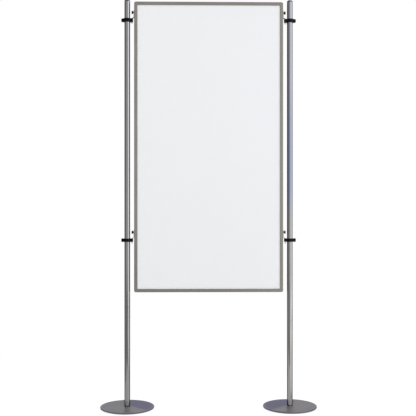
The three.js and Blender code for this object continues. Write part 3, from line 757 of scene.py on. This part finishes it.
def paper_core():
    """Paper cells with their fibres."""
    finish = Finish("paper honeycomb")
    cells = put(finish.tree, "ShaderNodeTexVoronoi", feature="DISTANCE_TO_EDGE", Scale=90.0)
    finish.tree.links.new(finish.place, cells.inputs["Vector"])
    fibres = finish.effect(GRAIN, "Streaks", Fineness=1500.0, Stretch=6.0)
    base = finish.blend(fibres, (0.52, 0.42, 0.29), (0.66, 0.56, 0.42))
    finish.colour(finish.blend(finish.between(cells.outputs["Distance"], 1, 0), base, (0.75, 0.66, 0.5), 0.4))
    finish.roughness(finish.between(fibres, 0.8, 0.95))
    finish.relief(cells.outputs["Distance"], 0.4 * MM)
    return finish.material


POLE_STEEL = pole_steel()
FOOT_LACQUER = foot_plate_lacquer()
ZINC = zinc_plate("bright zinc plate", (0.5, 0.49, 0.48), (0.38, 0.375, 0.37), 1)
BRACKET_PLATE = zinc_plate("dark bracket plate", (0.13, 0.127, 0.14), (0.085, 0.083, 0.094), 0.3)
STUD_PLATE = zinc_plate("handled zinc plate", (0.24, 0.236, 0.24), (0.17, 0.167, 0.172), 0.5)
BLACK = black_plastic("moulded black plastic", 0.05, 0.4)
CAP_BLACK = black_plastic("smooth black cap plastic", 0.42, 0.2)
FLOOR_RUBBER = rubber("floor ring rubber", (0.035, 0.035, 0.037), (0.02, 0.02, 0.021))
PAD_RUBBER = rubber("pad rubber", (0.045, 0.045, 0.045), (0.028, 0.028, 0.028))
UPRIGHT_ALUMINIUM = anodised("upright anodised aluminium", (0, 0, 0))
LEVEL_ALUMINIUM = anodised("level anodised aluminium", (0, QUARTER_TURN, 0))
BOARD = board_lacquer()
CORE = paper_core()


# Stands

def disc_foot():
    """Steel disc with a rolled rim, and a countersunk hole under the pole."""
    rim = DISC_RADIUS - DISC_RIM
    rings = [(DISC_HOLE, SINK_TOP), (SINK_RADIUS, DISC_UNDERSIDE + SINK_DEPTH), (SINK_RADIUS, DISC_UNDERSIDE)]
    rings += arc_rings(rim, DISC_UNDERSIDE + DISC_RIM, DISC_RIM, -90, 0, 5)
    rings += arc_rings(rim, DISC_TOP - DISC_RIM, DISC_RIM, 0, 90, 5)
    rings += [(POLE_RADIUS, DISC_TOP), (DISC_HOLE, DISC_TOP), (DISC_HOLE, SINK_TOP)]
    return smooth(turned("disc_foot", rings, DISC_SIDES, hollow=True))


def floor_ring():
    """Soft ring that the disc stands on."""
    rings = [(RING_INNER, 0), (RING_OUTER, 0)]
    rings += [(RING_OUTER, RING_TOP), (RING_INNER, RING_TOP), (RING_INNER, 0)]
    made = turned("floor_ring", rings, DISC_SIDES, hollow=True)
    return smooth(round_edges(made, RING_EDGE, 3))


def foot_screw():
    """Countersunk screw with a hexagon socket."""
    low = DISC_UNDERSIDE + SINK_DEPTH
    rings = [(FOOT_SCREW_HEAD, low), (FOOT_SCREW_RADIUS, SINK_TOP), (FOOT_SCREW_RADIUS, FOOT_SCREW_TOP)]
    made = turned("foot_screw", rings, SMALL_SIDES)
    socket = turned("socket", [(SOCKET_RADIUS, low - OVERRUN), (SOCKET_RADIUS, low + SOCKET_DEPTH)], 6)
    return smooth(round_edges(cut_with(made, socket), SOCKET_EDGE))


def pole_tube():
    """Open tube, rounded at its ends."""
    rings = [(POLE_RADIUS, POLE_FOOT), (POLE_RADIUS, POLE_TOP)]
    made = turned("pole_tube", rings, POLE_SIDES, hollow=True)
    wall = made.modifiers.new("wall", "SOLIDIFY")
    wall.thickness = POLE_WALL
    wall.offset = -1
    bpy.ops.object.modifier_apply(modifier=wall.name)
    return smooth(round_edges(made, TUBE_EDGE, 2, 60))


def pole_cap():
    """Moulded cap: a rim as wide as the tube, a low dome on it and a plug down inside the tube."""
    seat = POLE_TOP + CAP_SEAT_GAP
    dome_foot = seat + CAP_RIM_HEIGHT
    dome_steps = 12
    rings = [(CAP_PLUG_RADIUS, seat - CAP_PLUG_LENGTH), (CAP_PLUG_RADIUS, seat), (POLE_RADIUS, seat)]
    rings += arc_rings(POLE_RADIUS - CAP_RIM_ROUND, dome_foot - CAP_RIM_ROUND, CAP_RIM_ROUND, 0, 90, 5)
    for step in range(dome_steps):
        angle = QUARTER_TURN * step / dome_steps
        rings.append((CAP_DOME_RADIUS * math.cos(angle), dome_foot + CAP_DOME_HEIGHT * math.sin(angle)))
    rings.append((CAP_TIP, dome_foot + CAP_DOME_HEIGHT))
    return smooth(turned("pole_cap", rings, POLE_SIDES))


def put_up_stands():
    makers = (
        (disc_foot, "disc_foot", "base_plate", "foot_plate_steel", FOOT_LACQUER),
        (floor_ring, "rubber_ring", "floor_ring", "floor_rubber", FLOOR_RUBBER),
        (foot_screw, "socket_screw", "base_screw", "zinc_steel", ZINC),
        (pole_tube, "pole_tube", "pole", "pole_steel", POLE_STEEL),
        (pole_cap, "domed_cap", "pole_cap", "black_plastic", CAP_BLACK),
    )
    for make, stem, node, slot, finish in makers:
        left = make()
        right = copy_of(left, f"right_{stem}")
        left.name = left.data.name = f"left_{stem}"
        settle(left, place=(-POLE_X, 0, 0))
        settle(right, turn=(0, 0, math.pi))
        settle(right, place=(POLE_X, 0, 0))
        finish_piece(left, "stands", slot, finish, f"left_{node}")
        finish_piece(right, "stands", slot, finish, f"right_{node}")


# Clamps and brackets

def clamp():
    """Moulded ring on the pole, with a boss for the screw and an arm with an eye for the bracket."""
    top = CLAMP_HALF_HEIGHT
    made = turned("clamp", [(CLAMP_RING_RADIUS, -top), (CLAMP_RING_RADIUS, top)], POLE_SIDES)
    arm = block("arm", (0, -ARM_HALF_WIDTH, -top), (ARM_END, ARM_HALF_WIDTH, top))
    boss = block("boss", (-BOSS_END, -BOSS_HALF_WIDTH, -top), (0, BOSS_HALF_WIDTH, top))
    for part, end in ((arm, ARM_END), (boss, -BOSS_END)):
        pick(part, "EDGE", lambda middle, along: abs(middle.x - end) < OVERRUN and abs(along.z) > ALONG)
        bpy.ops.mesh.bevel(offset=CLAMP_FILLET, segments=6)
        done_shaping()
        cut_with(made, part, "UNION")
    round_edges(made, CLAMP_EDGE, 3, 50)
    reach = top + OVERRUN
    cut_with(made, turned("bore", [(CLAMP_BORE, -reach), (CLAMP_BORE, reach)], POLE_SIDES))
    cut_with(made, block("eye", (EYE_NEAR, -EYE_HALF_WIDTH, -reach), (EYE_FAR, EYE_HALF_WIDTH, reach)))
    drill = turned("drill", [
        (PAD_ROOM_RADIUS, CLAMP_BORE / 2),
        (PAD_ROOM_RADIUS, PAD_ROOM_END),
        (SCREW_HOLE_RADIUS, PAD_ROOM_END + STEP),
        (SCREW_HOLE_RADIUS, BOSS_END + OVERRUN),
    ], SMALL_SIDES)
    cut_with(made, settle(drill, turn=(0, -QUARTER_TURN, 0)))
    return smooth(round_edges(made, CLAMP_HOLE_EDGE, 2, 50))


def knob(name, radius, length, flute, lobes, points_per_lobe, hole, rim, dimple, hub=()):
    """Lobed knob about Z with rounded rims, a dimple in its end, and a hole and perhaps a hub in its foot."""
    sides = lobes * points_per_lobe
    rings = arc_rings(radius - rim, rim, rim, -90, 0, 4)
    rings += arc_rings(radius - rim, length - rim, rim, 0, 90, 4)
    rings += [(radius * DIMPLE_SHARE, length), (radius * DIMPLE_FLOOR_SHARE, length - dimple)]
    made = turned(name, rings, sides)
    lobed(made, radius, flute, lobes, sides)
    foot = 0
    if hub:
        foot = hub[0][1]
        cut_with(made, turned("hub", hub, SMALL_SIDES), "UNION")
    bore = turned("bore", [(hole, foot - OVERRUN), (hole, length * KNOB_BORE_SHARE)], SMALL_SIDES)
    return cut_with(made, bore)


def clamp_knob():
    """Six-lobed knob at the clamp's outer end."""
    made = knob("knob", CLAMP_KNOB_RADIUS, CLAMP_KNOB_LENGTH, CLAMP_KNOB_FLUTE, CLAMP_KNOB_LOBES, 16,
                CLAMP_KNOB_HOLE, CLAMP_KNOB_RIM, CLAMP_KNOB_DIMPLE)
    return smooth(settle(made, turn=(0, -QUARTER_TURN, 0), place=(-CLAMP_KNOB_NEAR, 0, 0)))


def stud_knob():
    """Ribbed head with a hub that narrows to the screw's collar."""
    hub = [(COLLAR_RADIUS, -STUD_HUB_LENGTH), (STUD_HUB_RADIUS, 0), (STUD_HUB_RADIUS, OVERRUN)]
    made = knob("knob", STUD_KNOB_RADIUS, STUD_KNOB_LENGTH, STUD_KNOB_RIB, STUD_KNOB_RIBS, 12,
                STUD_KNOB_HOLE, STUD_KNOB_RIM, STUD_KNOB_DIMPLE, hub)
    return smooth(settle(made, turn=(0, -QUARTER_TURN, 0), place=(STUD_KNOB_NEAR, 0, STUD_RISE)))


def stud():
    """Screw with a collar that bears on the bracket."""
    rings = [
        (SHANK_RADIUS, SHANK_START),
        (SHANK_RADIUS, COLLAR_START),
        (COLLAR_RADIUS - COLLAR_EDGE, COLLAR_START),
        (COLLAR_RADIUS, COLLAR_START + COLLAR_EDGE),
        (COLLAR_RADIUS, COLLAR_END - COLLAR_EDGE),
        (COLLAR_RADIUS - COLLAR_EDGE, COLLAR_END),
        (SHANK_RADIUS, COLLAR_END),
        (SHANK_RADIUS, SHANK_END),
    ]
    made = turned("stud", rings, SMALL_SIDES)
    return smooth(settle(made, turn=(0, QUARTER_TURN, 0), place=(0, 0, STUD_RISE)))


def bend(start, corner, end, steps):
    """Points round a bend, from one leg of a strip to the next."""
    points = []
    for step in range(1, steps + 1):
        t = step / steps
        shares = ((1 - t) ** 2, 2 * t * (1 - t), t * t)
        points.append(tuple(
            shares[0] * a + shares[1] * b + shares[2] * c for a, b, c in zip(start, corner, end)
        ))
    return points


def bracket():
    """Bent strip: a flange on the frame's side, a sloping shoulder and a tongue down through the eye."""
    slope = (SHOULDER_HIGH[1] - SHOULDER_LOW[1]) / (SHOULDER_HIGH[0] - SHOULDER_LOW[0])
    high_corner = (FLANGE_X, SHOULDER_HIGH[1] + slope * (FLANGE_X - SHOULDER_HIGH[0]))
    low_corner = (TONGUE_X, SHOULDER_LOW[1] - slope * (SHOULDER_LOW[0] - TONGUE_X))
    bend_steps = 6
    path = [(FLANGE_X, FLANGE_FOOT)]
    path += bend((FLANGE_X, FLANGE_FOOT), high_corner, SHOULDER_HIGH, bend_steps)
    path += [SHOULDER_LOW]
    path += bend(SHOULDER_LOW, low_corner, (TONGUE_X, TONGUE_TOP), bend_steps)
    path += [(TONGUE_X, TONGUE_END)]
    # A line across the top of the strip, drawn down its length
    bpy.ops.mesh.primitive_plane_add(size=BRACKET_WIDTH, location=(FLANGE_X, 0, FLANGE_TOP))
    made = started("bracket")
    bpy.ops.object.transform_apply(location=True, rotation=True, scale=True)
    bpy.ops.object.mode_set(mode="EDIT")
    bpy.ops.mesh.select_all(action="SELECT")
    bpy.ops.transform.resize(value=(0, 1, 1), center_override=(FLANGE_X, 0, FLANGE_TOP))
    bpy.ops.mesh.remove_doubles(threshold=HAIR)
    bpy.ops.mesh.select_mode(type="EDGE")
    bpy.ops.mesh.select_all(action="SELECT")
    x, z = FLANGE_X, FLANGE_TOP
    for next_x, next_z in path:
        bpy.ops.mesh.extrude_edges_move(TRANSFORM_OT_translate={"value": (next_x - x, 0, next_z - z)})
        x, z = next_x, next_z
    done_shaping()
    ends = (FLANGE_TOP, TONGUE_END)
    pick(made, "VERT", lambda point, _: min(abs(point.z - end) for end in ends) < HAIR)
    bpy.ops.mesh.bevel(offset=BRACKET_CORNER, segments=8, affect="VERTICES")
    done_shaping()
    wall = made.modifiers.new("wall", "SOLIDIFY")
    wall.thickness = BRACKET_THICKNESS
    wall.offset = 0
    wall.use_even_offset = True
    bpy.ops.object.modifier_apply(modifier=wall.name)
    close_up(made)
    drill = turned("drill", [(BRACKET_HOLE, ARM_END), (BRACKET_HOLE, ARM_END + BRACKET_WIDTH)], SMALL_SIDES)
    cut_with(made, settle(drill, turn=(0, QUARTER_TURN, 0), place=(0, 0, STUD_RISE)))
    return smooth(round_edges(made, BRACKET_EDGE, 2, 40))


def hang_up():
    """Each hanging piece is made once and copied to the four places."""
    makers = (
        (clamp, "pole_clamp", "clamp_body", "clamp", "black_plastic", BLACK),
        (clamp_knob, "clamp_grip", "clamp_knob", "screw", "black_plastic", BLACK),
        (bracket, "hanging_bracket", "bracket", "board", "bracket_steel", BRACKET_PLATE),
        (stud, "collar_screw", "bracket_screw", "stud", "zinc_steel", STUD_PLATE),
        (stud_knob, "ribbed_knob", "bracket_knob", "stud", "black_plastic", BLACK),
    )
    for make, stem, node, body, slot, finish in makers:
        first = make()
        for level, height in (("upper", UPPER_CLAMP_Z), ("lower", LOWER_CLAMP_Z)):
            for side, x, turn in (("left", -POLE_X, 0), ("right", POLE_X, math.pi)):
                place = f"{level}_{side}"
                made = copy_of(first, f"{place}_{stem}")
                settle(made, turn=(0, 0, turn))
                settle(made, place=(x, 0, height))
                rides = body if body == "board" else f"{place}_{body}"
                finish_piece(made, rides, slot, finish, f"{place}_{node}")
        bpy.data.objects.remove(first)


# Board

def rounded_outline(half):
    """The outline that gives a rail the frame's rounded outer corners, in the rail's own frame."""
    low = (-half - FRAME_CORNER_EASE, -RAIL_DEPTH, -FRAME_CORNER_EASE)
    made = block("outline", low, (half + FRAME_CORNER_EASE, RAIL_DEPTH, 2 * RAIL_FACE))
    pick(made, "EDGE", lambda middle, along: abs(along.y) > ALONG and middle.z < 0)
    bpy.ops.mesh.bevel(offset=FRAME_CORNER, segments=8)
    done_shaping()
    return made


def rail(name, length):
    """Grooved rail along X with its outer face at Z = 0, rounded and mitred at its ends."""
    half = length / 2
    made = block(name, (-half, -RAIL_DEPTH / 2, 0), (half, RAIL_DEPTH / 2, RAIL_FACE))
    pick(made, "EDGE", lambda middle, along: abs(along.x) > ALONG)
    bpy.ops.mesh.bevel(offset=RAIL_CHAMFER, segments=4)
    done_shaping()
    reach = half + OVERRUN
    for width, low, high in (
        (SLOT_MOUTH, -OVERRUN, SLOT_LIP + MITRE_GAP),
        (SLOT_WIDTH, SLOT_LIP, SLOT_FLOOR),
        (PANEL_GROOVE_WIDTH, PANEL_GROOVE_FLOOR, RAIL_FACE + OVERRUN),
    ):
        cut_with(made, block("groove", (-reach, -width / 2, low), (reach, width / 2, high)))
    cut_with(made, rounded_outline(half), "INTERSECT")
    for side in (-1, 1):
        pick(made, "FACE", lambda middle, facing: True)
        tip = (side * (half - MITRE_GAP), 0, 0)
        bpy.ops.mesh.bisect(plane_co=tip, plane_no=(side, 0, 1), use_fill=True, clear_outer=True)
        done_shaping()
    return close_up(made)


def put_frame_together():
    width = 2 * BOARD_SIDE
    height = BOARD_TOP - BOARD_BOTTOM
    middle = (BOARD_TOP + BOARD_BOTTOM) / 2
    sides = (
        ("bottom", 0, width, height / 2, LEVEL_ALUMINIUM),
        ("right", -QUARTER_TURN, height, width / 2, UPRIGHT_ALUMINIUM),
        ("top", 2 * QUARTER_TURN, width, height / 2, LEVEL_ALUMINIUM),
        ("left", QUARTER_TURN, height, width / 2, UPRIGHT_ALUMINIUM),
    )
    for name, turn, length, away, finish in sides:
        made = rail(f"{name}_frame_rail", length)
        settle(made, turn=(0, turn, 0))
        settle(made, place=(-away * math.sin(turn), 0, middle - away * math.cos(turn)))
        smooth(round_edges(made, RAIL_EDGE, 1, 50))
        finish_piece(made, "board", "frame_aluminium", finish, f"{name}_rail")


put_up_stands()
hang_up()
put_frame_together()

KEPT = {
    "clamp_pad": PAD_RUBBER,
    "clamp_screw": ZINC,
    "slot_nut": ZINC,
    "corner_key": ZINC,
    "foot_plug": ZINC,
    "sheet": BOARD,
    "panel_core": CORE,
}
for node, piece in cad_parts.items():
    for ending, finish in KEPT.items():
        if node.endswith(ending):
            piece.data.materials.clear()
            piece.data.materials.append(finish)


# Studio

FLOOR_SIZE = 14
FLOOR_CLEAR = 1.0
FLOOR_FADE = 1.6
FLOOR_TONE = 0.8
FLOOR_SHADE = 0.5
FLOOR_GLOW = 1.5
WORLD_LIGHT = 0.68


def seen_as_background(tree):
    """1 for what the camera, a shiny face or a clear one sees, 0 for light that falls on things."""
    path = put(tree, "ShaderNodeLightPath")
    seen = path.outputs["Is Camera Ray"]
    for label in ("Is Glossy Ray", "Is Transmission Ray"):
        either = put(tree, "ShaderNodeMath", operation="MAXIMUM")
        tree.links.new(seen, either.inputs[0])
        tree.links.new(path.outputs[label], either.inputs[1])
        seen = either.outputs[0]
    return seen


def floor_finish():
    """Pale floor that keeps the shadow near the object and goes over to plain white further out."""
    finish = Finish("pale floor", Roughness=0.9, Specular_IOR_Level=0.0)
    tree = finish.tree
    grit = finish.effect(GRIT, "Mottle", Closeness=60.0)
    finish.colour(finish.blend(grit, (FLOOR_TONE,) * 3, (FLOOR_TONE + 0.01,) * 3))
    glow = put(tree, "ShaderNodeEmission", Strength=FLOOR_GLOW)
    plain = put(tree, "ShaderNodeEmission", Strength=1.0)
    distance = put(tree, "ShaderNodeVectorMath", operation="LENGTH")
    tree.links.new(finish.place, distance.inputs[0])
    far = put(tree, "ShaderNodeMapRange", interpolation_type="SMOOTHSTEP")
    far.inputs["From Min"].default_value = FLOOR_CLEAR
    far.inputs["From Max"].default_value = FLOOR_FADE
    tree.links.new(distance.outputs["Value"], far.inputs["Value"])
    near_mix = put(tree, "ShaderNodeMixShader", Fac=FLOOR_SHADE)
    tree.links.new(finish.shader.outputs[0], near_mix.inputs[1])
    tree.links.new(glow.outputs[0], near_mix.inputs[2])
    far_mix = put(tree, "ShaderNodeMixShader")
    tree.links.new(far.outputs["Result"], far_mix.inputs[0])
    tree.links.new(near_mix.outputs[0], far_mix.inputs[1])
    tree.links.new(plain.outputs[0], far_mix.inputs[2])
    seen_mix = put(tree, "ShaderNodeMixShader")
    tree.links.new(seen_as_background(tree), seen_mix.inputs[0])
    tree.links.new(finish.shader.outputs[0], seen_mix.inputs[1])
    tree.links.new(far_mix.outputs[0], seen_mix.inputs[2])
    tree.links.new(seen_mix.outputs[0], tree.nodes["Material Output"].inputs["Surface"])
    return finish.material


def lay_floor():
    bpy.ops.mesh.primitive_plane_add(size=FLOOR_SIZE, location=(0, 0, 0))
    floor = started("floor")
    floor.data.materials.append(floor_finish())
    floor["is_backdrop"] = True


def light_world():
    world = bpy.data.worlds.new("white studio")
    bpy.context.scene.world = world
    world.use_nodes = True
    tree = world.node_tree
    back = tree.nodes["Background"]
    back.inputs["Color"].default_value = (1, 1, 1, 1)
    strength = put(tree, "ShaderNodeMapRange")
    strength.inputs["To Min"].default_value = WORLD_LIGHT
    strength.inputs["To Max"].default_value = 1
    tree.links.new(seen_as_background(tree), strength.inputs["Value"])
    tree.links.new(strength.outputs["Result"], back.inputs["Strength"])


def shine(name, place, turn, width, depth, brightness, colour, shine_only):
    """A lit sheet, as bright as white times its brightness, which the camera doesn't see."""
    bpy.ops.object.light_add(type="AREA", location=place)
    made = bpy.context.object
    made.name = name
    made.data.shape = "RECTANGLE"
    made.data.size = width
    made.data.size_y = depth
    made.data.energy = brightness * math.pi * width * depth
    made.data.color = colour
    made.rotation_euler = turn
    made.visible_camera = False
    made.visible_diffuse = not shine_only


def softbox(name, near, far, low, high, brightness, colour=(1, 1, 1), shine_only=False):
    """An upright lit wall between two places on the floor, facing the board."""
    near, far = Vector((*near, 0)), Vector((*far, 0))
    place = (near + far) / 2 + Vector((0, 0, (low + high) / 2))
    inwards = (far - near).cross(Vector((0, 0, 1)))
    if inwards.dot(place) > 0:
        inwards.negate()
    turn = inwards.to_track_quat("-Z", "Y").to_euler()
    shine(name, place, turn, (far - near).length, high - low, brightness, colour, shine_only)


def low_reflector(name, near, far, brightness):
    """A lit sheet lying just above the floor, seen only in shiny faces."""
    place = ((near[0] + far[0]) / 2, (near[1] + far[1]) / 2, REFLECTOR_HEIGHT)
    width, depth = far[0] - near[0], far[1] - near[1]
    shine(name, place, (math.pi, 0, 0), width, depth, brightness, (1, 1, 1), True)


REFLECTOR_HEIGHT = 0.01
BOX_FOOT = 0.05
BOX_TOP = 3.4
FRONT_BOX = ((-3.4, -4.2), (2.4, -4.4))
STRIP_BOX = ((1.25, -2.2), (2.7, -1.18))
SIDE_BOX = ((2.7, -1.18), (4.4, 1.6))
CAMERA_PLACE = (-0.0614, -3.34, 0.8389)
CAMERA_TURN = -0.0175
CAMERA_LENS = 68.8


def set_camera():
    bpy.ops.object.camera_add(location=CAMERA_PLACE, rotation=(QUARTER_TURN, 0, CAMERA_TURN))
    camera = bpy.context.object
    camera.name = "camera"
    camera.data.lens = CAMERA_LENS
    camera.data.sensor_width = 36
    camera.data.clip_start = 0.05
    camera.data.clip_end = 60
    bpy.context.scene.camera = camera


lay_floor()
light_world()
softbox("wide softbox in front", *FRONT_BOX, BOX_FOOT, BOX_TOP, 1.2)
for level, low, high, brightness, colour in (
    ("high", 1.6, BOX_TOP, 5.8, (0.87, 0.9, 1)),
    ("middle", 0.8, 1.6, 5.1, (0.9, 0.92, 1)),
    ("low", BOX_FOOT, 0.8, 4.5, (0.92, 0.94, 1)),
):
    softbox(f"{level} strip softbox on the right", *STRIP_BOX, low, high, brightness, colour, True)
softbox("side softbox on the right", *SIDE_BOX, BOX_FOOT, BOX_TOP, 2.5, (0.93, 0.95, 1), True)
low_reflector("low reflector on the right", (0.48, -2.2), (2.6, -0.1), 3.0)
low_reflector("low reflector between the poles", (-0.28, -0.8), (0.28, -0.02), 1.5)
low_reflector("low reflector before the left foot", (-0.75, -0.9), (-0.283, -0.02), 1.1)
low_reflector("low reflector before the right foot", (0.283, -0.9), (0.475, -0.02), 1.4)
set_camera()
bpy.context.scene.view_settings.view_transform = "Standard"

low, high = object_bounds()
